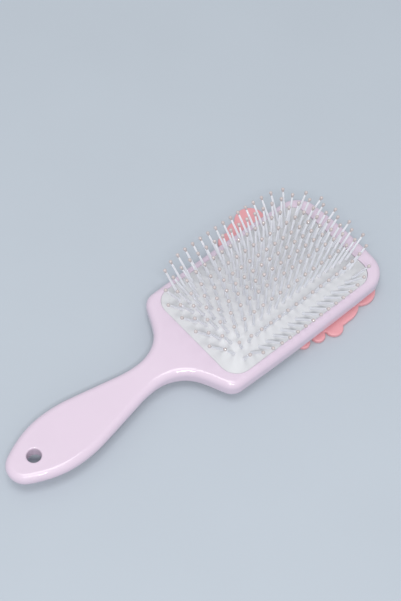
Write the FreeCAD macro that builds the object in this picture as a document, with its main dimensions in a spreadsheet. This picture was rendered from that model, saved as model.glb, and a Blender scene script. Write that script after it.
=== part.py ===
"""Paddle hair brush, pins up.

Frame, in millimetres: +Y runs from the handle to the far end of the head, +X across the brush, +Z up
out of the pins. The origin is on the underside of the back plate, below the middle of the head's
opening, so the brush rests on the plane z = 0.
"""
import FreeCAD, Part
import math
import os

import Sketcher

Vector = FreeCAD.Vector
UP = Vector(0, 0, 1)

# Driving dimensions: alias and value.
DIMENSIONS = [
    # handle and head
    ("plate_thickness", 3.0),
    ("adhesive_thickness", 1.0),
    ("body_thickness", 12.0),
    ("edge_radius", 4.1),
    ("head_half_width", 41.2),
    ("side_bulge", 0.8),
    ("far_edge", 67.2),
    ("far_bulge", 1.2),
    ("far_corner", 16.0),
    ("near_corner", 9.5),
    ("near_corner_y", -53.6),
    ("shoulder_slope", 25.0),
    ("handle_end", 187.0),
    ("top_relief", 1.6),
    ("bottom_relief", 2.0),
    ("relief_start", 66.0),
    ("relief_end", 106.0),
    ("spare", 5.0),
    ("hole_radius", 4.15),
    ("hole_from_end", 17.0),
    ("hole_rim", 1.0),
    # seat for the cushion
    ("opening_width", 72.0),
    ("opening_length", 112.4),
    ("opening_corner", 11.0),
    ("opening_round", 0.5),
    ("lip_thickness", 2.4),
    ("undercut", 1.5),
    ("floor_thickness", 3.0),
    ("seat_gap", 0.1),
    ("ring_width", 3.5),
    # cushion
    ("skin", 1.5),
    ("cushion_gap", 0.25),
    ("cushion_sink", 0.4),
    ("dome_rise", 8.9),
    ("flange_thickness", 1.6),
    # pins
    ("row_pitch", 5.95),
    ("pin_pitch", 5.76),
    ("pin_reach", 20.0),
    ("pin_base_radius", 0.85),
    ("pin_top_radius", 0.55),
    ("pin_hole_gap", 0.15),
    ("foot_radius", 1.4),
    ("foot_thickness", 0.8),
    ("foot_gap", 1.0),
    ("ball_radius", 1.0),
    ("ball_seat", 0.75),
    ("side_splay", 0.89),
    ("side_set", 0.3),
    ("end_splay_even", 0.34),
    ("end_splay_edge", 0.42),
    ("end_set", 0.07),
    ("corner_ease", 0.64),
    # adhesive pad
    ("pad_width", 52.0),
    ("pad_length", 64.0),
    ("pad_corner", 8.0),
    ("pad_centre", 20.0),
]

# Half of the handle's outline from the shoulder to the end: x, y and the way it runs there, in degrees
# from +X.
HANDLE_LINE = [
    (20.5, -69.2, -149),
    (9.2, -90, -90),
    (13.3, -116, -78),
    (18.6, -150, -90),
    (15.2, -169.5, -110),
]

# The back plate is a cloud made of overlapping discs, each (x, y, radius).
CLOUD = [
    (-10, 24, 35),
    (14, 26, 30),
    (-18, 46, 17),
    (10, 50, 14),
    (32, 48, 10.5),
    (30, 31, 14),
    (41.5, 18.5, 5.8),
    (39.5, 7.5, 4.4),
    (37.5, -2.5, 4.0),
    (30, 4, 8.5),
    (20, -4, 12),
    (-4, -10, 13),
    (-26, -2, 14),
    (-45, 12, 7),
    (-47, 22, 8),
    (-49, 33, 10),
]

# Pins in each row, across the head: full rows alternate with rows set half a pitch along, and the two
# outermost rows stop one pin short at each end.
PINS_IN_ROW = [16, 17, 18, 17, 18, 17, 18, 17, 18, 17, 16]
MIDDLE_ROW = len(PINS_IN_ROW) // 2
LAST_PIN = 8.5

# The dome's surface passes through a grid with this many spans from the middle to each side and end.
DOME_SPANS_X, DOME_SPANS_Y = 12, 16

# Two places closer than this are the same.
TOUCH = 0.01

doc = FreeCAD.newDocument("paddle_brush")


def make_sheet():
    sheet = doc.addObject("Spreadsheet::Sheet", "Dimensions")
    for line, (alias, value) in enumerate(DIMENSIONS, start=1):
        sheet.set("A%d" % line, alias)
        sheet.set("B%d" % line, str(value))
        sheet.setAlias("B%d" % line, alias)
    doc.recompute()
    return {alias: float(sheet.get(alias)) for alias, _ in DIMENSIONS}


size = make_sheet()

# Heights above the origin, as numbers and as the expressions that drive the features.
BOTTOM_HEIGHT = "Dimensions.plate_thickness + Dimensions.adhesive_thickness"
RIM_HEIGHT = BOTTOM_HEIGHT + " + Dimensions.body_thickness"
UNDER_LIP_HEIGHT = RIM_HEIGHT + " - Dimensions.lip_thickness"
CAVITY_DEPTH = "Dimensions.body_thickness - Dimensions.lip_thickness - Dimensions.floor_thickness"
BOTTOM = size["plate_thickness"] + size["adhesive_thickness"]
RIM = BOTTOM + size["body_thickness"]
UNDER_LIP = RIM - size["lip_thickness"]
FLANGE_BOTTOM = UNDER_LIP - size["seat_gap"] - size["flange_thickness"]
DOME_BASE = RIM - size["cushion_sink"]

# Half sizes of the opening and of the wider cavity under its lip, as expressions.
OPENING = ("Dimensions.opening_width / 2", "Dimensions.opening_length / 2", "Dimensions.opening_corner")
CAVITY = tuple(side + " + Dimensions.undercut" for side in OPENING)


# ---------------------------------------------------------------- features

def new_body(name):
    body = doc.addObject("PartDesign::Body", name)
    body.Label = name
    return body


def new_sketch(body, name, role="XY_Plane", height=None):
    """A sketch on one of the body's origin planes, raised along its normal by an expression."""
    sketch = body.newObject("Sketcher::SketchObject", name)
    plane = next(f for f in body.Origin.OriginFeatures if f.Role == role)
    sketch.AttachmentSupport = [(plane, "")]
    sketch.MapMode = "FlatFace"
    if height is not None:
        sketch.setExpression("AttachmentOffset.Base.z", height)
    return sketch


def rounded_rectangle(sketch, half_width, half_length, corner):
    """A rounded rectangle about the sketch's origin. Its three sizes are expressions."""
    flat_w, flat_l, start_r = 15.0, 25.0, 5.0
    centres = [(flat_w, flat_l), (-flat_w, flat_l), (-flat_w, -flat_l), (flat_w, -flat_l)]
    arcs = []
    for quarter, (x, y) in enumerate(centres):
        circle = Part.Circle(Vector(x, y, 0), UP, start_r)
        turn = quarter * math.pi / 2
        arcs.append(sketch.addGeometry(Part.ArcOfCircle(circle, turn, turn + math.pi / 2)))
    sides = []
    for this, after in zip(arcs, arcs[1:] + arcs[:1]):
        ends = sketch.getPoint(this, 2), sketch.getPoint(after, 1)
        side = sketch.addGeometry(Part.LineSegment(*ends))
        sketch.addConstraint(Sketcher.Constraint("Tangent", this, 2, side, 1))
        sketch.addConstraint(Sketcher.Constraint("Tangent", side, 2, after, 1))
        sides.append(side)
    for number, side in enumerate(sides):
        sketch.addConstraint(Sketcher.Constraint("Vertical" if number % 2 else "Horizontal", side))
    for arc in arcs[1:]:
        sketch.addConstraint(Sketcher.Constraint("Equal", arcs[0], arc))
    sketch.addConstraint(Sketcher.Constraint("Symmetric", arcs[0], 3, arcs[2], 3, -1, 1))
    radius = sketch.addConstraint(Sketcher.Constraint("Radius", arcs[0], start_r))
    width = sketch.addConstraint(Sketcher.Constraint("DistanceX", -1, 1, arcs[0], 3, flat_w))
    length = sketch.addConstraint(Sketcher.Constraint("DistanceY", -1, 1, arcs[0], 3, flat_l))
    sketch.setExpression("Constraints[%d]" % radius, corner)
    sketch.setExpression("Constraints[%d]" % width, "%s - (%s)" % (half_width, corner))
    sketch.setExpression("Constraints[%d]" % length, "%s - (%s)" % (half_length, corner))
    doc.recompute()
    if not sketch.FullyConstrained:
        raise RuntimeError("%s is not fully constrained" % sketch.Label)


def pad(body, sketch, name, length):
    feature = body.newObject("PartDesign::Pad", name)
    feature.Profile = sketch
    feature.setExpression("Length", length)
    doc.recompute()
    return feature


def pocket(body, sketch, name, depth=None):
    """A pocket cut against its sketch's normal. With no depth it cuts through everything."""
    before = body.Shape.Volume
    feature = body.newObject("PartDesign::Pocket", name)
    feature.Profile = sketch
    if depth is None:
        feature.Type = "ThroughAll"
    else:
        feature.setExpression("Length", depth)
    doc.recompute()
    if feature.Shape.Volume >= before:
        raise RuntimeError("%s cuts nothing" % name)
    return feature


def fillet(body, base, name, radius, wanted):
    """Round the edges of the base feature for which wanted(edge) is true."""
    chosen = ["Edge%d" % n for n, edge in enumerate(base.Shape.Edges, start=1) if wanted(edge)]
    feature = body.newObject("PartDesign::Fillet", name)
    feature.Base = (base, chosen)
    feature.setExpression("Radius", radius)
    doc.recompute()
    return feature


# ---------------------------------------------------------------- handle and head

def heading(degrees):
    return Vector(math.cos(math.radians(degrees)), math.sin(math.radians(degrees)), 0)


def arc_from(start, way, end):
    """Start, middle and end of the arc that leaves start along way and runs to end."""
    chord = end - start
    side = Vector(-way.y, way.x, 0)
    centre = start + side * (chord.dot(chord) / (2 * side.dot(chord)))
    middle = (start + end) * 0.5 - centre
    radius = centre.distanceToPoint(start)
    if way.dot(chord) < 0:
        middle = -middle
    return start, centre + middle.normalize() * radius, end


def two_arcs(start, way_out, end, way_in):
    """Two arcs that leave start along way_out, join smoothly and reach end along way_in."""
    chord = end - start
    along = chord.dot(way_out + way_in)
    bend = 1 - way_out.dot(way_in)
    reach = chord.dot(chord) / (along + math.sqrt(along * along + 2 * bend * chord.dot(chord)))
    joint = (start + way_out * reach + end - way_in * reach) * 0.5
    return [arc_from(start, way_out, joint), arc_from(end, way_in * -1, joint)]


def right_half_outline():
    """Arcs from the middle of the far edge clockwise to the end of the handle."""
    half, far_y = size["head_half_width"], size["far_edge"]
    far_r, near_r = size["far_corner"], size["near_corner"]
    side_x = half - size["side_bulge"]
    low_y = far_y - size["far_bulge"]
    slope = size["shoulder_slope"] - 180
    far_tilt = math.degrees(2 * math.atan(size["far_bulge"] / (side_x - far_r)))
    side_tilt = math.degrees(math.atan(4 * size["side_bulge"] / (low_y - size["near_corner_y"])))
    far_centre = Vector(side_x - far_r, low_y - far_r, 0)
    near_centre = Vector(side_x - near_r, size["near_corner_y"], 0)
    # Each station is a point and the way that the outline passes it.
    stations = [
        (Vector(0, far_y, 0), 0),
        (far_centre + heading(90 - far_tilt) * far_r, -far_tilt),
        (far_centre + heading(side_tilt) * far_r, side_tilt - 90),
        (near_centre + heading(-side_tilt) * near_r, -side_tilt - 90),
        (near_centre + heading(slope + 90) * near_r, slope),
    ]
    stations += [(Vector(x, y, 0), way) for x, y, way in HANDLE_LINE]
    stations.append((Vector(0, -size["handle_end"], 0), -180))
    arcs = []
    for (start, out), (end, back) in zip(stations, stations[1:]):
        arcs += two_arcs(start, heading(out), end, heading(back))
    return arcs


def trim_face(body, name, level, relief, away):
    """Cut the blank to its upper or lower face: level over the head, then eased by relief at the handle.

    away is 1 for the upper face and -1 for the lower one.
    """
    spare = size["spare"]
    ahead, behind = size["far_edge"] + spare, -size["handle_end"] - spare
    start, end = -size["relief_start"], -size["relief_end"]
    lowered = level - away * relief
    # The blank stands out of the face by one spare, so two spares are clear of it.
    clear = level + away * 2 * spare
    corners = [Vector(end, lowered, 0), Vector(behind, lowered, 0), Vector(behind, clear, 0),
               Vector(ahead, clear, 0), Vector(ahead, level, 0), Vector(start, level, 0)]
    beside = "Dimensions.head_half_width + Dimensions.spare"
    sketch = new_sketch(body, name + "_sketch", "YZ_Plane", beside)
    for arc in two_arcs(corners[-1], heading(180), corners[0], heading(180)):
        sketch.addGeometry(Part.Arc(*arc))
    for here, there in zip(corners, corners[1:]):
        sketch.addGeometry(Part.LineSegment(here, there))
    return pocket(body, sketch, name)


def on_outline(edge):
    """True for the edges round the top and the bottom, not the upright ones nor those on the faces."""
    first, last = edge.Vertexes[0].Point, edge.Vertexes[-1].Point
    upright = math.hypot(first.x - last.x, first.y - last.y) < TOUCH
    across = isinstance(edge.Curve, Part.Line)
    down_the_middle = abs(first.x) < TOUCH and abs(last.x) < TOUCH
    return not (upright or across or down_the_middle)


def make_handle_body():
    body = new_body("handle_body")
    outline = new_sketch(body, "outline", height=BOTTOM_HEIGHT + " - Dimensions.spare")
    for arc in right_half_outline():
        outline.addGeometry(Part.Arc(*arc))
        outline.addGeometry(Part.Arc(*(Vector(-point.x, point.y, 0) for point in arc)))
    pad(body, outline, "blank", "Dimensions.body_thickness + 2 * Dimensions.spare")
    trim_face(body, "upper_face", RIM, size["top_relief"], 1)
    trimmed = trim_face(body, "lower_face", BOTTOM, size["bottom_relief"], -1)
    fillet(body, trimmed, "soft_edges", "Dimensions.edge_radius", on_outline)

    opening = new_sketch(body, "opening", height=RIM_HEIGHT)
    rounded_rectangle(opening, *OPENING)
    pocket(body, opening, "mouth", "Dimensions.body_thickness - Dimensions.floor_thickness")
    seat = new_sketch(body, "seat", height=UNDER_LIP_HEIGHT)
    rounded_rectangle(seat, *CAVITY)
    cavity = pocket(body, seat, "cavity", CAVITY_DEPTH)
    lip = fillet(body, cavity, "lip_round", "Dimensions.opening_round", on_mouth)

    hole = new_sketch(body, "hang_hole", height=RIM_HEIGHT)
    circle = hole.addGeometry(Part.Circle(Vector(0, 10, 0), UP, 5))
    radius = hole.addConstraint(Sketcher.Constraint("Radius", circle, 5))
    hole.addConstraint(Sketcher.Constraint("PointOnObject", circle, 3, -2))
    place = hole.addConstraint(Sketcher.Constraint("DistanceY", circle, 3, -1, 1, 10))
    hole.setExpression("Constraints[%d]" % radius, "Dimensions.hole_radius")
    hole.setExpression("Constraints[%d]" % place, "Dimensions.handle_end - Dimensions.hole_from_end")
    bored = pocket(body, hole, "hang_bore")
    fillet(body, bored, "hole_rims", "Dimensions.hole_rim", on_hole)
    return body


def on_mouth(edge):
    """True for the opening's upper edges."""
    box = edge.BoundBox
    level = abs(box.ZMin - RIM) < TOUCH and abs(box.ZMax - RIM) < TOUCH
    in_width = max(-box.XMin, box.XMax) < size["opening_width"] / 2 + TOUCH
    in_length = max(-box.YMin, box.YMax) < size["opening_length"] / 2 + TOUCH
    return level and in_width and in_length


def on_hole(edge):
    """True for the two rims of the hang hole."""
    round_edge = isinstance(edge.Curve, Part.Circle)
    return round_edge and abs(edge.Curve.Radius - size["hole_radius"]) < TOUCH


# ---------------------------------------------------------------- cushion and its ring

def block(half_width, half_length, corner, low, high):
    """An upright solid on a rounded rectangle about the z axis."""
    tall = Part.makeBox(2 * half_width, 2 * half_length, high - low, Vector(-half_width, -half_length, low))
    upright = [edge for edge in tall.Edges if edge.BoundBox.ZLength > (high - low) / 2]
    return tall.makeFillet(corner, upright)


def dome_share(x, y):
    """How much of the dome's rise the cushion has at a place: 1 in the middle, 0 at the opening."""
    across = min(abs(x) / (size["opening_width"] / 2), 1)
    along = min(abs(y) / (size["opening_length"] / 2), 1)
    return (1 - across ** 2.5) * (1 - along ** 4)


def dome_height(x, y):
    return DOME_BASE + size["dome_rise"] * dome_share(x, y)


def below_dome(depth):
    """Everything under the dome's surface moved down by depth."""
    reach_x, reach_y = size["opening_width"] / 2, size["opening_length"] / 2
    grid = []
    for i in range(-DOME_SPANS_X, DOME_SPANS_X + 1):
        x = reach_x * i / DOME_SPANS_X
        ys = [reach_y * j / DOME_SPANS_Y for j in range(-DOME_SPANS_Y, DOME_SPANS_Y + 1)]
        grid.append([Vector(x, y, dome_height(x, y) - depth) for y in ys])
    surface = Part.BSplineSurface()
    surface.interpolate(grid)
    return surface.toShape().extrude(Vector(0, 0, -size["body_thickness"] - size["dome_rise"]))


def make_cushion_pad():
    half_w = size["opening_width"] / 2 - size["cushion_gap"]
    half_l = size["opening_length"] / 2 - size["cushion_gap"]
    corner = size["opening_corner"] - size["cushion_gap"]
    skin = size["skin"]
    flange_out = size["undercut"] + size["cushion_gap"] - size["seat_gap"]
    top = RIM + size["dome_rise"] + 1
    outside = block(half_w, half_l, corner, FLANGE_BOTTOM, top).common(below_dome(0))
    flange = block(half_w + flange_out, half_l + flange_out, corner + flange_out,
                   FLANGE_BOTTOM, FLANGE_BOTTOM + size["flange_thickness"])
    inside = block(half_w - skin, half_l - skin, corner - skin, FLANGE_BOTTOM - 1, top)
    hollow = inside.common(below_dome(skin))
    bore = size["pin_base_radius"] + size["pin_hole_gap"]
    reach = 3 * skin
    drills = []
    for row in range(len(PINS_IN_ROW)):
        for base, lean in pin_places(row):
            drills.append(Part.makeCylinder(bore, 2 * reach, base - lean * reach, lean))
    shape = outside.fuse(flange).removeSplitter().cut(hollow).cut(Part.makeCompound(drills))
    return new_feature("cushion_pad", shape)


def new_feature(name, shape):
    feature = doc.addObject("Part::Feature", name)
    feature.Label = name
    feature.Shape = shape
    feature.Placement = FreeCAD.Placement()
    return feature


def make_cushion_frame():
    body = new_body("cushion_frame")
    outer = new_sketch(body, "ring_outside", height=BOTTOM_HEIGHT + " + Dimensions.floor_thickness")
    rounded_rectangle(outer, *(side + " - Dimensions.seat_gap" for side in CAVITY))
    height = CAVITY_DEPTH + " - Dimensions.flange_thickness - 2 * Dimensions.seat_gap"
    pad(body, outer, "ring_blank", height)
    inner = new_sketch(body, "ring_inside", height=UNDER_LIP_HEIGHT)
    rounded_rectangle(inner, *(side + " - Dimensions.seat_gap - Dimensions.ring_width" for side in CAVITY))
    pocket(body, inner, "ring_opening", CAVITY_DEPTH)
    return body


# ---------------------------------------------------------------- pins

def pin_places(row):
    """Base point and direction of each pin of a row.

    The pins splay outwards, the outer rows the most and the corners less. The inner rows also stand
    with a slight set to the left and to the far end.
    """
    side = row - MIDDLE_ROW
    count = PINS_IN_ROW[row]
    places = []
    for number in range(count):
        step = number - (count - 1) / 2
        x, y = side * size["row_pitch"], step * size["pin_pitch"]
        across, along = side / MIDDLE_ROW, step / LAST_PIN
        inner = 1 - across ** 2
        lean_x = size["side_splay"] * across ** 3 - size["side_set"] * across ** 2 * inner
        lean_x *= 1 - abs(along) ** 5
        lean_y = size["end_splay_even"] * along + size["end_splay_edge"] * along ** 5
        lean_y += size["end_set"] * inner
        lean_y *= 1 - size["corner_ease"] * across ** 8
        lean = Vector(lean_x, lean_y, 1).normalize()
        places.append((Vector(x, y, dome_height(x, y)), lean))
    return places


def bound(kind, name, **expressions):
    """A primitive with its properties bound to expressions. Two underscores in a name stand for a dot."""
    feature = doc.addObject(kind, name)
    for key, expression in expressions.items():
        feature.setExpression(key.replace("__", "."), expression)
    return feature


def make_pin_form():
    """One pin standing on the origin: its foot is inside the cushion, under the skin."""
    foot_top = "-(Dimensions.skin + Dimensions.foot_gap)"
    shaft_end = "Dimensions.pin_reach - Dimensions.ball_radius - Dimensions.ball_seat"
    foot = bound("Part::Cylinder", "foot_form", Radius="Dimensions.foot_radius",
                 Height="Dimensions.foot_thickness",
                 Placement__Base__z=foot_top + " - Dimensions.foot_thickness")
    shaft = bound("Part::Cone", "shaft_form", Radius1="Dimensions.pin_base_radius",
                  Radius2="Dimensions.pin_top_radius",
                  Height="%s - (%s)" % (shaft_end, foot_top),
                  Placement__Base__z=foot_top)
    form = doc.addObject("Part::MultiFuse", "pin_form")
    form.Shapes = [foot, shaft]
    return form


def make_ball_form():
    """The ball on the end of that pin, with the flat that sits on the shaft's end."""
    return bound("Part::Sphere", "ball_form", Radius="Dimensions.ball_radius",
                 Angle1="-asin(Dimensions.ball_seat / Dimensions.ball_radius)",
                 Placement__Base__z="Dimensions.pin_reach - Dimensions.ball_radius")


def make_row(name, form, row):
    """A group of copies of a form, one at each place of the row."""
    copies = []
    for base, lean in pin_places(row):
        copy = form.Shape.copy()
        copy.Placement = FreeCAD.Placement(base, FreeCAD.Rotation(UP, lean)).multiply(copy.Placement)
        copies.append(copy)
    return new_feature("%s_%02d" % (name, row + 1), Part.makeCompound(copies))


# ---------------------------------------------------------------- back plate

def make_back_plate():
    discs = []
    for number, (x, y, radius) in enumerate(CLOUD, start=1):
        disc = bound("Part::Cylinder", "cloud_disc_%02d" % number, Height="Dimensions.plate_thickness")
        disc.Radius = radius
        disc.Placement.Base = Vector(x, y, 0)
        discs.append(disc)
    plate = doc.addObject("Part::MultiFuse", "back_plate")
    plate.Label = "back_plate"
    plate.Shapes = discs
    plate.Refine = True
    return plate


def make_plate_adhesive():
    body = new_body("plate_adhesive")
    sketch = new_sketch(body, "pad_outline", height="Dimensions.plate_thickness")
    rounded_rectangle(sketch, "Dimensions.pad_width / 2", "Dimensions.pad_length / 2", "Dimensions.pad_corner")
    pad(body, sketch, "pad_sheet", "Dimensions.adhesive_thickness")
    body.setExpression("Placement.Base.y", "Dimensions.pad_centre")
    return body


# ---------------------------------------------------------------- whole brush

def make_brush():
    nodes = [make_handle_body(), make_cushion_pad(), make_cushion_frame()]
    nodes += [make_back_plate(), make_plate_adhesive()]
    pin, ball = make_pin_form(), make_ball_form()
    doc.recompute()
    for row in range(len(PINS_IN_ROW)):
        nodes.append(make_row("pin_row", pin, row))
        nodes.append(make_row("tip_row", ball, row))
    doc.recompute()
    return nodes


def check(nodes):
    for item in doc.Objects:
        if "Invalid" in item.State or "Error" in item.State:
            raise RuntimeError("%s failed to build" % item.Label)
    for node in nodes:
        if node.Shape.isNull() or not node.Shape.isValid():
            raise RuntimeError("%s has no valid shape" % node.Label)


def export(nodes):
    os.makedirs("parts", exist_ok=True)
    for node in nodes:
        node.Shape.exportStep("parts/%s.step" % node.Label)


brush = make_brush()
check(brush)
export(brush)
for node in brush:
    print("%s: %d solid(s), %.1f mm3" % (node.Label, len(node.Shape.Solids), node.Shape.Volume))
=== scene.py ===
"""Paddle hair brush: the looks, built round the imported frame. Lengths are in metres."""
import math

import bpy
from mathutils import Matrix, Vector, geometry


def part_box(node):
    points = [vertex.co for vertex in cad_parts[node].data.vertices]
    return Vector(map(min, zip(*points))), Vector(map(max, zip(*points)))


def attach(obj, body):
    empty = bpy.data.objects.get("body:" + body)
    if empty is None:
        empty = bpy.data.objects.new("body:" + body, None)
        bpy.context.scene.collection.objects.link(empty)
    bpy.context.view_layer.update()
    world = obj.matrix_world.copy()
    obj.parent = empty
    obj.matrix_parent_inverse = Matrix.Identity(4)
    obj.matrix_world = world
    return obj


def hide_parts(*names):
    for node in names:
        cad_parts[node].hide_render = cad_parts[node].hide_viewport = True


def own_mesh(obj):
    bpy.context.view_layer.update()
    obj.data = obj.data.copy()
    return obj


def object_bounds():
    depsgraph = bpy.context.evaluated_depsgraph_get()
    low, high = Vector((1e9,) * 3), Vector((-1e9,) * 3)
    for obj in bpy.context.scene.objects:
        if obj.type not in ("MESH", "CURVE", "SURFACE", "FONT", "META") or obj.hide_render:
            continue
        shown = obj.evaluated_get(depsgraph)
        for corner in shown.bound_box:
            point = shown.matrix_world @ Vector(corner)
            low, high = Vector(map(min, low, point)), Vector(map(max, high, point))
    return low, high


MM = 0.001
UP = Vector((0, 0, 1))

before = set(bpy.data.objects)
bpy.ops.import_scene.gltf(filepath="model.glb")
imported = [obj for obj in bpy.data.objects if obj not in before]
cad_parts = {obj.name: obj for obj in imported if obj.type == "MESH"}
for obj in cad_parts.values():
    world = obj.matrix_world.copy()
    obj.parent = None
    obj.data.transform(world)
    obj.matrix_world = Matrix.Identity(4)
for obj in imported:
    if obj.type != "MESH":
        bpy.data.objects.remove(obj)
cad_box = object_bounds()

BODY_LOW, BODY_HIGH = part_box("handle_body")
RING_LOW, RING_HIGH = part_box("cushion_frame")
PLATE_LOW, PLATE_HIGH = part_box("back_plate")

# ---------------------------------------------------------------- sizes shared with the CAD model

BOTTOM, RIM = BODY_LOW.z, BODY_HIGH.z
FLOOR = RING_LOW.z
LIP_THICKNESS = 2.4 * MM
UNDER_LIP = RIM - LIP_THICKNESS
EDGE_RADIUS = 4.1 * MM
TOP_RELIEF, BOTTOM_RELIEF = 1.6 * MM, 2.0 * MM
RELIEF_START, RELIEF_END = -66 * MM, -106 * MM

OPENING_HALF = (36 * MM, 56.2 * MM)
OPENING_CORNER = 11 * MM
OPENING_ROUND = 0.2 * MM
UNDERCUT = 1.5 * MM
HOLE_RADIUS, HOLE_RIM = 4.15 * MM, 1.0 * MM
HOLE_FROM_END = 17 * MM
HOLE_CENTRE = Vector((0, BODY_LOW.y + HOLE_FROM_END))

CUSHION_GAP, FAR_GAP = 0.08 * MM, 0.25 * MM
CUSHION_SINK, SHOULDER_SINK = 0.4 * MM, 0.08 * MM
DOME_BASE, SHOULDER = RIM - CUSHION_SINK, RIM - SHOULDER_SINK
DOME_RISE = 8.9 * MM
SKIN = 1.5 * MM
CUSHION_EDGE = 0.15 * MM
FLANGE_GAP = 0.1 * MM
SWELL_HEIGHT, SWELL_RADIUS = 0.14 * MM, 1.7 * MM

# Powers by which the dome falls off to its sides and its ends, and the far seam opens.
ACROSS_POWER, ALONG_POWER, SEAM_POWER = 2.5, 4, 8

ROW_PITCH, PIN_PITCH = 5.95 * MM, 5.76 * MM
PINS_IN_ROW = [16, 17, 18, 17, 18, 17, 18, 17, 18, 17, 16]
MIDDLE_ROW = len(PINS_IN_ROW) // 2
LAST_PIN = 8.5
PIN_REACH = 20 * MM

# How far the pins lean, as slopes: sideways, endways, and how much of it is eased off at the corners.
SIDE_SPLAY, SIDE_SET = 0.89, 0.3
END_SPLAY_EVEN, END_SPLAY_EDGE, END_SET = 0.34, 0.42, 0.07
CORNER_EASE = 0.64

# The outline's stations on the right half: x, y in millimetres and the way it runs, in degrees from +X.
HANDLE_LINE = [
    (20.5, -69.2, -149),
    (9.2, -90, -90),
    (13.3, -116, -78),
    (18.6, -150, -90),
    (15.2, -169.5, -110),
]

# The head, in millimetres and degrees: its sides, its far edge and corners, and its shoulders.
HEAD_HALF_WIDTH, SIDE_BULGE = 41.2, 0.8
FAR_EDGE, FAR_BULGE, FAR_CORNER = 67.2, 1.2, 16.0
NEAR_CORNER, NEAR_CORNER_Y, SHOULDER_SLOPE = 9.5, -53.6, 25.0
HANDLE_END = 187.0

PLATE_EDGE, PLATE_BORDER, PLATE_SUNK = 0.9 * MM, 3.2 * MM, 0.4 * MM
BORDER_SLOPE = 0.3 * MM

# Back plate: discs of the cloud in millimetres, x, y, radius.
CLOUD = [
    (-10, 24, 35),
    (14, 26, 30),
    (-18, 46, 17),
    (10, 50, 14),
    (32, 48, 10.5),
    (30, 31, 14),
    (41.5, 18.5, 5.8),
    (39.5, 7.5, 4.4),
    (37.5, -2.5, 4.0),
    (30, 4, 8.5),
    (20, -4, 12),
    (-4, -10, 13),
    (-26, -2, 14),
    (-45, 12, 7),
    (-47, 22, 8),
    (-49, 33, 10),
]

# Mesh spacing inside the filled faces: the body's, its recess floor, the cushion's skin, and the plain ones.
BODY_MESH, FLOOR_MESH, SKIN_MESH, PLAIN_MESH = 3 * MM, 6 * MM, 0.6 * MM, 4 * MM


# ---------------------------------------------------------------- plan outlines

def heading(degrees):
    return Vector((math.cos(math.radians(degrees)), math.sin(math.radians(degrees))))


def arc_points(start, way, end, step, sharpest=4):
    """Points along the arc that leaves start along way and runs to end, without its last point.

    They are at most step apart, and turn by at most sharpest degrees from one to the next.
    """
    chord = end - start
    side = Vector((-way.y, way.x))
    radius = chord.length_squared / (2 * side.dot(chord))
    centre = start + side * radius
    turn = (end - centre).angle_signed(start - centre, 0)
    if radius > 0 and turn < 0 or radius < 0 and turn > 0:
        turn += math.copysign(2 * math.pi, radius)
    count = max(2, math.ceil(abs(radius * turn) / step), math.ceil(abs(turn) / math.radians(sharpest)))
    spoke = start - centre
    return [centre + Matrix.Rotation(turn * i / count, 2) @ spoke for i in range(count)]


def two_arcs(start, way_out, end, way_in, step):
    """Points along two arcs that leave start along way_out, join smoothly and reach end along way_in."""
    chord = end - start
    along = chord.dot(way_out + way_in)
    bend = 1 - way_out.dot(way_in)
    reach = chord.length_squared / (along + math.sqrt(along * along + 2 * bend * chord.length_squared))
    joint = (start + way_out * reach + end - way_in * reach) * 0.5
    back = arc_points(end, -way_in, joint, step)
    return arc_points(start, way_out, joint, step) + [joint] + back[:0:-1]


def body_outline(step=1.0):
    """The whole plan outline, counter-clockwise, in metres."""
    side_x, low_y = HEAD_HALF_WIDTH - SIDE_BULGE, FAR_EDGE - FAR_BULGE
    slope = SHOULDER_SLOPE - 180
    far_tilt = math.degrees(2 * math.atan(FAR_BULGE / (side_x - FAR_CORNER)))
    side_tilt = math.degrees(math.atan(4 * SIDE_BULGE / (low_y - NEAR_CORNER_Y)))
    far_centre = Vector((side_x - FAR_CORNER, low_y - FAR_CORNER))
    near_centre = Vector((side_x - NEAR_CORNER, NEAR_CORNER_Y))
    stations = [
        (Vector((0, FAR_EDGE)), 0),
        (far_centre + heading(90 - far_tilt) * FAR_CORNER, -far_tilt),
        (far_centre + heading(side_tilt) * FAR_CORNER, side_tilt - 90),
        (near_centre + heading(-side_tilt) * NEAR_CORNER, -side_tilt - 90),
        (near_centre + heading(slope + 90) * NEAR_CORNER, slope),
    ]
    stations += [(Vector((x, y)), way) for x, y, way in HANDLE_LINE]
    stations.append((Vector((0, -HANDLE_END)), -180))
    right = []
    for (start, out), (end, back) in zip(stations, stations[1:]):
        right += two_arcs(start, heading(out), end, heading(back), step)
    right.append(stations[-1][0])
    left = [Vector((-p.x, p.y)) for p in right[1:-1]]
    clockwise = right + left[::-1]
    return [p * MM for p in reversed(clockwise)]


def rounded_rectangle(half_w, half_l, corner, step=0.9 * MM, corner_steps=16):
    """Counter-clockwise points of a rounded rectangle about the origin."""
    flat_w, flat_l = half_w - corner, half_l - corner
    points = []
    for quarter, (sx, sy) in enumerate([(1, 1), (-1, 1), (-1, -1), (1, -1)]):
        centre = Vector((sx * flat_w, sy * flat_l))
        for i in range(corner_steps + 1):
            points.append(centre + heading(90 * (quarter + i / corner_steps)) * corner)
    closed = []
    for here, there in zip(points, points[1:] + points[:1]):
        pieces = max(1, math.ceil((there - here).length / step))
        closed += [here.lerp(there, i / pieces) for i in range(pieces)]
    return closed


def circle(centre, radius, count=48):
    return [centre + heading(360 * i / count) * radius for i in range(count)]


def inward(loop, distance):
    """The counter-clockwise loop moved towards its inside by distance."""
    moved = []
    for before, here, after in zip(loop[-1:] + loop[:-1], loop, loop[1:] + loop[:1]):
        way = ((here - before).normalized() + (after - here).normalized()).normalized()
        moved.append(here + Vector((-way.y, way.x)) * distance)
    return moved


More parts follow.
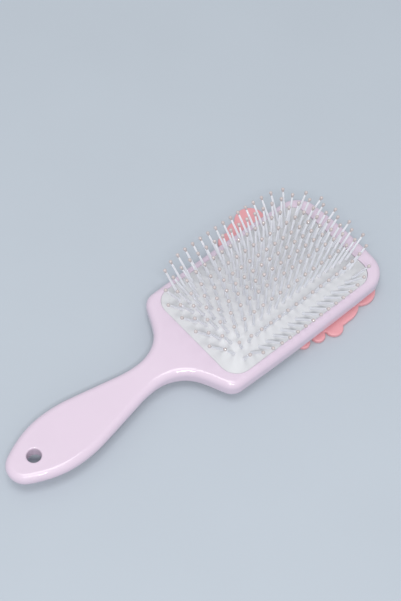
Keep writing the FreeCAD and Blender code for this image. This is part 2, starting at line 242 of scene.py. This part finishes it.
def quarter_round(radius, steps):
    """Inset and drop of points round an edge, from its flat face to its side."""
    turns = [math.pi / 2 * i / steps for i in range(steps + 1)]
    return [(radius * (1 - math.sin(turn)), radius * (1 - math.cos(turn))) for turn in turns]


# ---------------------------------------------------------------- mesh building

# What delaunay_2d_cdt keeps, the triangles inside the loops, and how far apart it takes points for one.
INSIDE, TOLERANCE = 1, 1e-9


class Shape:
    """A mesh being put together from loops of points."""

    def __init__(self):
        self.points = []
        self.faces = []

    def loop(self, plan, height):
        """Adds a loop of points and returns their numbers. height is a number or a function of x and y."""
        first = len(self.points)
        for p in plan:
            z = height(p.x, p.y) if callable(height) else height
            self.points.append(Vector((p.x, p.y, z)))
        return list(range(first, len(self.points)))

    def band(self, lower, upper):
        """Joins two loops of the same length with faces."""
        count = len(lower)
        for i in range(count):
            j = (i + 1) % count
            self.faces.append((lower[i], lower[j], upper[j], upper[i]))

    def fill(self, outer, holes, spacing, height, upwards=True):
        """Fills the plan area between a loop and the loops inside it with even triangles."""
        rims = [outer] + holes
        plan = [Vector(self.points[i][:2]) for rim in rims for i in rim]
        areas, start = [], 0
        for rim in rims:
            areas.append(list(range(start, start + len(rim))))
            start += len(rim)
        polygons = [[Vector(self.points[i][:2]) for i in rim] for rim in rims]
        extra = lattice(polygons, spacing)
        made = geometry.delaunay_2d_cdt(plan + extra, [], areas, INSIDE, TOLERANCE)
        places, _, triangles, place_sources, _, triangle_areas = made
        known = [i for rim in rims for i in rim]
        numbers = []
        for place, sources in zip(places, place_sources):
            if sources and sources[0] < len(known):
                numbers.append(known[sources[0]])
            else:
                numbers.append(len(self.points))
                self.points.append(Vector((place.x, place.y, height(place.x, place.y))))
        for (a, b, c), areas_over in zip(triangles, triangle_areas):
            if list(areas_over) == [0]:
                faces_up = (places[b] - places[a]).cross(places[c] - places[a]) > 0
                order = (a, b, c) if faces_up == upwards else (a, c, b)
                self.faces.append(tuple(numbers[i] for i in order))

    def piece(self, name, body, slot, material):
        """Makes the object, which rides on a body and takes the given material. slot is not used."""
        mesh = bpy.data.meshes.new(name)
        mesh.from_pydata([tuple(p) for p in self.points], [], self.faces)
        mesh.validate()
        mesh.shade_smooth()
        mesh.materials.append(material)
        made = bpy.data.objects.new(name, mesh)
        bpy.context.scene.collection.objects.link(made)
        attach(made, body)
        return made


def crossings(polygon, y):
    """Where a polygon crosses the line at y, in order along x."""
    found = []
    for a, b in zip(polygon, polygon[1:] + polygon[:1]):
        if (a.y > y) != (b.y > y):
            found.append(a.x + (y - a.y) / (b.y - a.y) * (b.x - a.x))
    return sorted(found)


def lattice(polygons, spacing, clearance=0.6):
    """Triangular lattice points inside the first polygon and outside the others.

    They stay clear of the edges by clearance times the spacing, measured along x.
    """
    ys = [p.y for p in polygons[0]]
    rise = spacing * math.sqrt(3) / 2
    rows = int((max(ys) - min(ys)) / rise)
    margin = spacing * clearance
    found = []
    for row in range(1, rows):
        y = min(ys) + row * rise
        spans = crossings(polygons[0], y)
        cuts = [crossings(hole, y) for hole in polygons[1:]]
        gaps = [gap for cut in cuts for gap in zip(cut[::2], cut[1::2])]
        for left, right in zip(spans[::2], spans[1::2]):
            shift = spacing / 2 if row % 2 else 0
            first = math.ceil((left + margin - shift) / spacing)
            last = math.floor((right - margin - shift) / spacing)
            for step in range(first, last + 1):
                x = step * spacing + shift
                if not any(a - margin < x < b + margin for a, b in gaps):
                    found.append(Vector((x, y)))
    return found


# ---------------------------------------------------------------- materials

def shader_of(material):
    return material.node_tree.nodes["Principled BSDF"]


def new_material(name, colour, roughness, **inputs):
    """A Principled material with its plain sockets set. An underscore in a socket's name is a space."""
    material = bpy.data.materials.new(name)
    material.use_nodes = True
    shader = shader_of(material)
    shader.inputs["Base Color"].default_value = (*colour, 1)
    shader.inputs["Roughness"].default_value = roughness
    shader.inputs["Subsurface Radius"].default_value = (1, 1, 1)
    for key, value in inputs.items():
        shader.inputs[key.replace("_", " ")].default_value = value
    return material


def add_node(material, kind, **settings):
    node = material.node_tree.nodes.new(kind)
    for key, value in settings.items():
        setattr(node, key, value)
    return node


def connect(material, source, target):
    material.node_tree.links.new(source, target)


def place_source(material):
    return add_node(material, "ShaderNodeTexCoord").outputs["Object"]


def noise_value(material, scale, detail=4, rough=0.5):
    """A noise texture in the piece's own space. scale is in waves per metre."""
    texture = add_node(material, "ShaderNodeTexNoise")
    texture.inputs["Scale"].default_value = scale
    texture.inputs["Detail"].default_value = detail
    texture.inputs["Roughness"].default_value = rough
    connect(material, place_source(material), texture.inputs["Vector"])
    return texture.outputs["Fac"]


def ramp(material, source, stops):
    """Maps a value to colours. stops are (position, colour)."""
    node = add_node(material, "ShaderNodeValToRGB")
    first, last = node.color_ramp.elements[0], node.color_ramp.elements[1]
    first.position, last.position = stops[0][0], stops[-1][0]
    first.color, last.color = (*stops[0][1], 1), (*stops[-1][1], 1)
    for position, colour in stops[1:-1]:
        node.color_ramp.elements.new(position).color = (*colour, 1)
    connect(material, source, node.inputs["Fac"])
    return node.outputs["Color"]


def spread(material, source, low, high):
    """Maps a value from 0..1 to low..high."""
    node = add_node(material, "ShaderNodeMapRange")
    node.inputs["To Min"].default_value = low
    node.inputs["To Max"].default_value = high
    connect(material, source, node.inputs["Value"])
    return node.outputs["Result"]


def add_bumps(material, *heights):
    """Bump from (value, strength, distance in metres), one after the other."""
    normal = None
    for value, strength, distance in heights:
        bump = add_node(material, "ShaderNodeBump")
        bump.inputs["Strength"].default_value = strength
        bump.inputs["Distance"].default_value = distance
        connect(material, value, bump.inputs["Height"])
        if normal is not None:
            connect(material, normal, bump.inputs["Normal"])
        normal = bump.outputs["Normal"]
    connect(material, normal, shader_of(material).inputs["Normal"])


def mottled(material, colour, scale, change):
    """Lets the base colour drift a little lighter and darker."""
    darker = tuple(c * (1 - change) for c in colour)
    lighter = tuple(min(1, c * (1 + change)) for c in colour)
    tint = ramp(material, noise_value(material, scale), [(0.3, darker), (0.7, lighter)])
    connect(material, tint, shader_of(material).inputs["Base Color"])


def body_material():
    pink = (0.70, 0.575, 0.68)
    material = new_material("pink_moulding", pink, 0.55, Coat_Weight=0.8, Coat_Roughness=0.04, Coat_IOR=1.6,
                            Subsurface_Weight=0.12, Subsurface_Scale=0.004)
    mottled(material, pink, 35, 0.012)
    fine, broad = noise_value(material, 900, 2), noise_value(material, 90, 3)
    connect(material, spread(material, broad, 0.5, 0.6), shader_of(material).inputs["Roughness"])
    add_bumps(material, (broad, 0.05, 0.0004), (fine, 0.02, 0.00006))
    return material


def rubber_material():
    grey = (0.64, 0.64, 0.655)
    material = new_material("cushion_rubber", grey, 0.42, Coat_Weight=0.15, Coat_Roughness=0.3,
                            Subsurface_Weight=0.15, Subsurface_Scale=0.003)
    mottled(material, grey, 60, 0.02)
    grain = noise_value(material, 2600, 3, 0.6)
    connect(material, spread(material, noise_value(material, 140), 0.36, 0.5),
            shader_of(material).inputs["Roughness"])
    add_bumps(material, (grain, 0.12, 0.00005))
    return material


def pin_material():
    white = (0.86, 0.865, 0.915)
    material = new_material("pin_nylon", white, 0.3, Subsurface_Weight=0.4, Subsurface_Scale=0.002,
                            Transmission_Weight=0.12)
    mottled(material, white, 220, 0.02)
    add_bumps(material, (noise_value(material, 1500, 2), 0.05, 0.00004))
    return material


def tip_material():
    cream = (0.56, 0.495, 0.485)
    material = new_material("tip_coating", cream, 0.22, Coat_Weight=0.6, Coat_Roughness=0.06)
    mottled(material, cream, 160, 0.06)
    return material


def plate_material():
    coral = (0.77, 0.36, 0.385)
    material = new_material("coral_plate", coral, 0.4, Coat_Weight=0.15, Coat_Roughness=0.25,
                            Subsurface_Weight=0.1, Subsurface_Scale=0.002)
    mottled(material, coral, 50, 0.03)
    add_bumps(material, (noise_value(material, 1200, 3), 0.08, 0.00005))
    return material


def foam_material():
    pale = (0.8, 0.8, 0.77)
    material = new_material("adhesive_foam", pale, 0.8)
    mottled(material, pale, 400, 0.06)
    cells = add_node(material, "ShaderNodeTexVoronoi")
    cells.inputs["Scale"].default_value = 3500
    connect(material, place_source(material), cells.inputs["Vector"])
    add_bumps(material, (cells.outputs["Distance"], 0.4, 0.0001))
    return material


def ring_material():
    white = (0.72, 0.72, 0.72)
    material = new_material("ring_plastic", white, 0.5)
    mottled(material, white, 80, 0.02)
    add_bumps(material, (noise_value(material, 1800, 3), 0.1, 0.00005))
    return material


# ---------------------------------------------------------------- handle and head

def eased(y):
    """How far along the easing from head to handle a place is: 0 on the head, 1 on the handle."""
    span = RELIEF_START - RELIEF_END
    t = min(max((RELIEF_START - y) / span, 0), 1)
    return 2 * t * t if t < 0.5 else 1 - 2 * (1 - t) ** 2


def top_at(x, y):
    return RIM - TOP_RELIEF * eased(y)


def bottom_at(x, y):
    return BOTTOM + BOTTOM_RELIEF * eased(y)


def below_top(depth):
    return lambda x, y: top_at(x, y) - depth


def above_bottom(depth):
    return lambda x, y: bottom_at(x, y) + depth


def make_body(material):
    """The moulding. A narrow flat skirt beside each rounded edge keeps the shading of the faces even."""
    shape = Shape()
    outline = body_outline()
    skirt = 0.05 * MM
    edge = [(EDGE_RADIUS + skirt, 0)] + quarter_round(EDGE_RADIUS, 9)
    rings = [shape.loop(inward(outline, inset), above_bottom(rise)) for inset, rise in edge]
    rings += [shape.loop(inward(outline, inset), below_top(drop)) for inset, drop in reversed(edge)]
    for lower, upper in zip(rings, rings[1:]):
        shape.band(lower, upper)

    # Rim of the opening, the wall below it, the undercut and the floor.
    def opening(grow, height):
        sizes = (OPENING_HALF[0] + grow, OPENING_HALF[1] + grow, OPENING_CORNER + grow)
        return shape.loop(rounded_rectangle(*sizes), height)

    mouth = [opening(OPENING_ROUND + skirt, RIM)]
    mouth += [opening(grow, RIM - drop) for grow, drop in quarter_round(OPENING_ROUND, 5)]
    mouth += [opening(0, UNDER_LIP), opening(UNDERCUT, UNDER_LIP), opening(UNDERCUT, FLOOR)]
    for upper, lower in zip(mouth, mouth[1:]):
        shape.band(upper, lower)
    shape.fill(mouth[-1], [], FLOOR_MESH, lambda x, y: FLOOR)

    # Hang hole with rounded rims.
    hole = []
    rim = [(HOLE_RIM + skirt, 0)] + quarter_round(HOLE_RIM, 7)
    for grow, drop in rim:
        hole.append(shape.loop(circle(HOLE_CENTRE, HOLE_RADIUS + grow), below_top(drop)))
    for grow, rise in reversed(rim):
        hole.append(shape.loop(circle(HOLE_CENTRE, HOLE_RADIUS + grow), above_bottom(rise)))
    for upper, lower in zip(hole, hole[1:]):
        shape.band(upper, lower)

    shape.fill(rings[-1], [mouth[0], hole[0]], BODY_MESH, top_at)
    shape.fill(rings[0], [hole[-1]], BODY_MESH, bottom_at, upwards=False)
    piece = shape.piece("brush_body_moulding", "brush", "body_plastic", material)
    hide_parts("handle_body")


# ---------------------------------------------------------------- cushion

def dome_share(x, y):
    """How much of the dome's rise the cushion has at a place."""
    across = min(abs(x) / OPENING_HALF[0], 1)
    along = min(abs(y) / OPENING_HALF[1], 1)
    return (1 - across ** ACROSS_POWER) * (1 - along ** ALONG_POWER)


def dome_height(x, y):
    return DOME_BASE + DOME_RISE * dome_share(x, y)


def pin_places(row):
    """Base point and direction of each pin of a row."""
    side, count = row - MIDDLE_ROW, PINS_IN_ROW[row]
    places = []
    for number in range(count):
        step = number - (count - 1) / 2
        x, y = side * ROW_PITCH, step * PIN_PITCH
        across, along = side / MIDDLE_ROW, step / LAST_PIN
        inner = 1 - across ** 2
        lean_x = (SIDE_SPLAY * across ** 3 - SIDE_SET * across ** 2 * inner) * (1 - abs(along) ** 5)
        lean_y = END_SPLAY_EVEN * along + END_SPLAY_EDGE * along ** 5 + END_SET * inner
        lean_y *= 1 - CORNER_EASE * across ** 8
        places.append((Vector((x, y, dome_height(x, y))), Vector((lean_x, lean_y, 1)).normalized()))
    return places


def edge_height(x, y):
    """The dome, held up level with the rim round its edge."""
    return max(dome_height(x, y), SHOULDER)


def skin_height(x, y):
    """The cushion's surface, with a low swelling of the skin round each pin."""
    nearest_row = round(x / ROW_PITCH) + MIDDLE_ROW
    swell = 0
    if 0 <= nearest_row < len(PINS_IN_ROW):
        shift = (PINS_IN_ROW[nearest_row] - 1) / 2
        number = round(y / PIN_PITCH + shift)
        if 0 <= number < PINS_IN_ROW[nearest_row]:
            dx = x - (nearest_row - MIDDLE_ROW) * ROW_PITCH
            dy = y - (number - shift) * PIN_PITCH
            swell = SWELL_HEIGHT * math.exp(-(dx * dx + dy * dy) / SWELL_RADIUS ** 2)
    return edge_height(x, y) + swell


def make_cushion(material):
    """The hollow dome. Its seam is wider at the far end."""
    shape = Shape()
    half_w, half_l = OPENING_HALF[0] - CUSHION_GAP, OPENING_HALF[1] - CUSHION_GAP
    corner = OPENING_CORNER - CUSHION_GAP

    def ring(inset, height):
        plan = rounded_rectangle(half_w - inset, half_l - inset, corner - inset)
        for p in plan:
            p.y -= FAR_GAP * max(p.y / half_l, 0) ** SEAM_POWER
        return shape.loop(plan, height)

    outside = [ring(0, UNDER_LIP)]
    for inset, drop in reversed(quarter_round(CUSHION_EDGE, 5)):
        outside.append(ring(inset, lambda x, y, drop=drop: edge_height(x, y) - drop))
    for lower, upper in zip(outside, outside[1:]):
        shape.band(lower, upper)
    shape.fill(outside[-1], [], SKIN_MESH, skin_height)

    def underside(x, y):
        return dome_height(x, y) - SKIN

    inside_top = ring(SKIN, underside)
    inside_foot = ring(SKIN, UNDER_LIP)
    shape.band(inside_foot, outside[0])
    shape.band(inside_top, inside_foot)
    shape.fill(inside_top, [], PLAIN_MESH, underside, upwards=False)
    piece = shape.piece("air_cushion", "brush", "cushion_rubber", material)
    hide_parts("cushion_pad")
    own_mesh(piece)


def make_flange(material):
    """The cushion's flange, held between the ring and the lip."""
    shape = Shape()
    low, high = RING_HIGH.z, UNDER_LIP - FLANGE_GAP
    outer, inner = UNDERCUT - FLANGE_GAP, -CUSHION_GAP - SKIN
    loops = []
    for grow, height in [(outer, low), (outer, high), (inner, high), (inner, low)]:
        sizes = (OPENING_HALF[0] + grow, OPENING_HALF[1] + grow, OPENING_CORNER + grow)
        loops.append(shape.loop(rounded_rectangle(*sizes), height))
    for lower, upper in zip(loops, loops[1:] + loops[:1]):
        shape.band(lower, upper)
    shape.piece("cushion_flange", "brush", "cushion_rubber", material)


# ---------------------------------------------------------------- pins

def turned(shape, base, lean, profile, sides):
    """Adds a closed turned solid along lean. profile is (radius, distance from base), from foot to top."""
    turn = UP.rotation_difference(lean).to_matrix()

    def at(radius, height, angle):
        return base + turn @ Vector((radius * math.cos(angle), radius * math.sin(angle), height))

    loops = []
    for radius, height in profile[1:-1]:
        first = len(shape.points)
        shape.points += [at(radius, height, 2 * math.pi * i / sides) for i in range(sides)]
        loops.append(list(range(first, first + sides)))
    for lower, upper in zip(loops, loops[1:]):
        shape.band(lower, upper)
    for loop, (_, height), top in ((loops[0], profile[0], False), (loops[-1], profile[-1], True)):
        tip = len(shape.points)
        shape.points.append(at(0, height, 0))
        for i in range(sides):
            here, there = loop[i], loop[(i + 1) % sides]
            shape.faces.append((here, there, tip) if top else (there, here, tip))


# Radius and distance from the rubber's surface, in millimetres: foot, collar and tapering shaft.
PIN_FOOT = [(0, -3.3), (1.25, -3.3), (1.38, -3.2), (1.4, -3.0), (1.4, -2.6), (1.3, -2.5), (0.9, -2.48)]
PIN_COLLAR = [(0.85, -2.3), (0.85, -0.6), (1.08, 0.0), (1.04, 0.3), (0.9, 0.7), (0.83, 1.2)]
PIN_SHAFT = [(0.79, 4.0), (0.71, 9.0), (0.63, 14.0), (0.56, 18.0), (0.4, 18.25), (0, 18.25)]

# The ball's neck, in millimetres from its centre, and its last ring, in ball radii.
BALL_NECK = [(0, -1.6), (0.58, -1.6), (0.61, -1.4), (0.66, -1.15), (0.75, -0.9)]
BALL_CROWN = (0.13, 0.99)
BALL_RADIUS = 1.08 * MM
BALL_START, BALL_STEPS = -42, 9
PIN_SIDES, BALL_SIDES = 16, 20


def pin_profile():
    return [(radius * MM, height * MM) for radius, height in PIN_FOOT + PIN_COLLAR + PIN_SHAFT]


def ball_profile():
    """A dipped ball: a short neck on the shaft that swells into the ball."""
    centre = PIN_REACH - BALL_RADIUS
    profile = [(radius * MM, centre + height * MM) for radius, height in BALL_NECK]
    for i in range(BALL_STEPS):
        angle = math.radians(BALL_START + (90 - BALL_START) * i / BALL_STEPS)
        profile.append((BALL_RADIUS * math.cos(angle), centre + BALL_RADIUS * math.sin(angle)))
    profile.append((BALL_RADIUS * BALL_CROWN[0], centre + BALL_RADIUS * BALL_CROWN[1]))
    profile.append((0, PIN_REACH))
    return profile


def make_pins(pin_finish, tip_finish):
    pin, ball = pin_profile(), ball_profile()
    for row in range(len(PINS_IN_ROW)):
        label, body = "%02d" % (row + 1), "row_%02d" % (row + 1)
        pins, tips = Shape(), Shape()
        for base, lean in pin_places(row):
            turned(pins, base, lean, pin, PIN_SIDES)
            turned(tips, base, lean, ball, BALL_SIDES)
        piece = pins.piece("nylon_pins_" + label, body, "pin_nylon", pin_finish)
        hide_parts("pin_row_" + label)
        piece = tips.piece("ball_tips_" + label, body, "tip_coating", tip_finish)
        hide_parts("tip_row_" + label)


# ---------------------------------------------------------------- back plate

def free_arcs():
    """The stretches of each disc of the cloud that no other disc covers: centre, radius, from, to."""
    arcs = []
    for x, y, radius in CLOUD:
        centre, cuts, covered = Vector((x, y)), [], []
        for other_x, other_y, other_radius in CLOUD:
            gap = Vector((other_x, other_y)) - centre
            if gap.length == 0 or gap.length >= radius + other_radius:
                continue
            lens = (gap.length_squared + radius ** 2 - other_radius ** 2) / (2 * gap.length * radius)
            if lens <= -1:
                cuts = None
                break
            if lens < 1:
                way, half = math.atan2(gap.y, gap.x), math.acos(lens)
                covered.append((way, half))
                cuts += [(way - half) % math.tau, (way + half) % math.tau]
        if not cuts:
            continue
        cuts.sort()
        for start, end in zip(cuts, cuts[1:] + [cuts[0] + math.tau]):
            middle = (start + end) / 2
            if all(math.cos(middle - way) < math.cos(half) for way, half in covered):
                arcs.append((centre, radius, start, end))
    return arcs


def cloud_outline(step=0.6):
    """The cloud's outline, counter-clockwise, in metres: the longest chain of free arcs."""
    chains = []
    for centre, radius, start, end in free_arcs():
        count = max(3, math.ceil(radius * (end - start) / step))
        turns = [start + (end - start) * i / count for i in range(count + 1)]
        chains.append([centre + Vector((math.cos(t), math.sin(t))) * radius for t in turns])
    loops = []
    while chains:
        loop = chains.pop()
        while (loop[-1] - loop[0]).length > step / 10:
            following = min(chains, key=lambda chain: (chain[0] - loop[-1]).length)
            chains.remove(following)
            loop += following[1:]
        loops.append(loop[:-1])
    return [p * MM for p in max(loops, key=len)]


def make_plate(material):
    """The cloud plate: a rounded edge, and below a shallow panel inside a raised border."""
    shape = Shape()
    outline = cloud_outline()
    low, high, panel = PLATE_LOW.z, PLATE_HIGH.z, PLATE_LOW.z + PLATE_SUNK
    edge = quarter_round(PLATE_EDGE, 5)
    profile = [
        (PLATE_BORDER, panel),
        (PLATE_BORDER - BORDER_SLOPE, low + PLATE_SUNK / 4),
        (PLATE_BORDER - 2 * BORDER_SLOPE, low),
    ]
    profile += [(inset, low + rise) for inset, rise in edge]
    profile += [(inset, high - drop) for inset, drop in reversed(edge)]
    loops = [shape.loop(inward(outline, inset), z) for inset, z in profile]
    for lower, upper in zip(loops, loops[1:]):
        shape.band(lower, upper)
    shape.fill(loops[-1], [], PLAIN_MESH, lambda x, y: high)
    shape.fill(loops[0], [], PLAIN_MESH, lambda x, y: panel, upwards=False)
    piece = shape.piece("cloud_plate", "brush", "plate_plastic", material)
    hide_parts("back_plate")


# ---------------------------------------------------------------- floor, light and camera

def make_floor():
    bpy.ops.mesh.primitive_plane_add(size=6, location=(0, 0, cad_box[0].z))
    floor = bpy.context.object
    floor.name = "floor"
    blue_grey = (0.46, 0.505, 0.555)
    material = new_material("floor_paper", blue_grey, 0.75)
    mottled(material, blue_grey, 12, 0.01)
    floor.data.materials.append(material)


def add_area(name, place, aim, size, power):
    light = bpy.data.lights.new(name, "AREA")
    light.shape = "RECTANGLE"
    light.size, light.size_y = size
    light.energy = power
    lamp = bpy.data.objects.new(name, light)
    lamp.location = place
    lamp.rotation_mode = "QUATERNION"
    lamp.rotation_quaternion = (Vector(place) - Vector(aim)).to_track_quat("Z", "Y")
    bpy.context.scene.collection.objects.link(lamp)


def make_light():
    world = bpy.data.worlds.new("studio")
    world.use_nodes = True
    background = world.node_tree.nodes["Background"]
    background.inputs["Color"].default_value = (0.93, 0.96, 1.0, 1)
    background.inputs["Strength"].default_value = 0.6
    bpy.context.scene.world = world
    middle = (cad_box[0] + cad_box[1]) / 2
    add_area("overhead_panel", middle + Vector((-0.05, -0.1, 1.9)), middle, size=(0.8, 0.8), power=9)
    add_area("front_panel", middle + Vector((0.85, -0.75, 1.55)), middle, size=(0.8, 0.1), power=17)


def make_camera():
    """The camera looks down on the brush from the handle's side and the right."""
    elevation, azimuth, roll = math.radians(56.88), math.radians(47.51), math.radians(2.12)
    distance, target = 0.7363, Vector((-0.01717, -0.03581, RIM))
    back = Vector((math.sin(azimuth) * math.cos(elevation), -math.cos(azimuth) * math.cos(elevation),
                   math.sin(elevation)))
    level = (-back).cross(UP).normalized()
    over = level.cross(-back)
    right = level * math.cos(roll) + over * math.sin(roll)
    above = over * math.cos(roll) - level * math.sin(roll)
    data = bpy.data.cameras.new("camera")
    data.lens = 75.1
    camera = bpy.data.objects.new("camera", data)
    axes = Matrix((right, above, back)).transposed()
    camera.matrix_world = Matrix.Translation(target + back * distance) @ axes.to_4x4()
    bpy.context.scene.collection.objects.link(camera)
    bpy.context.scene.camera = camera


def finish_node(name, material):
    """Gives a CAD node that stays in sight its material."""
    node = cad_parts[name]
    node.data.materials.clear()
    node.data.materials.append(material)


bpy.context.scene.view_settings.view_transform = "Standard"
make_camera()
make_floor()
make_light()
rubber = rubber_material()
make_body(body_material())
make_cushion(rubber)
make_flange(rubber)
make_pins(pin_material(), tip_material())
make_plate(plate_material())
finish_node("plate_adhesive", foam_material())
finish_node("cushion_frame", ring_material())
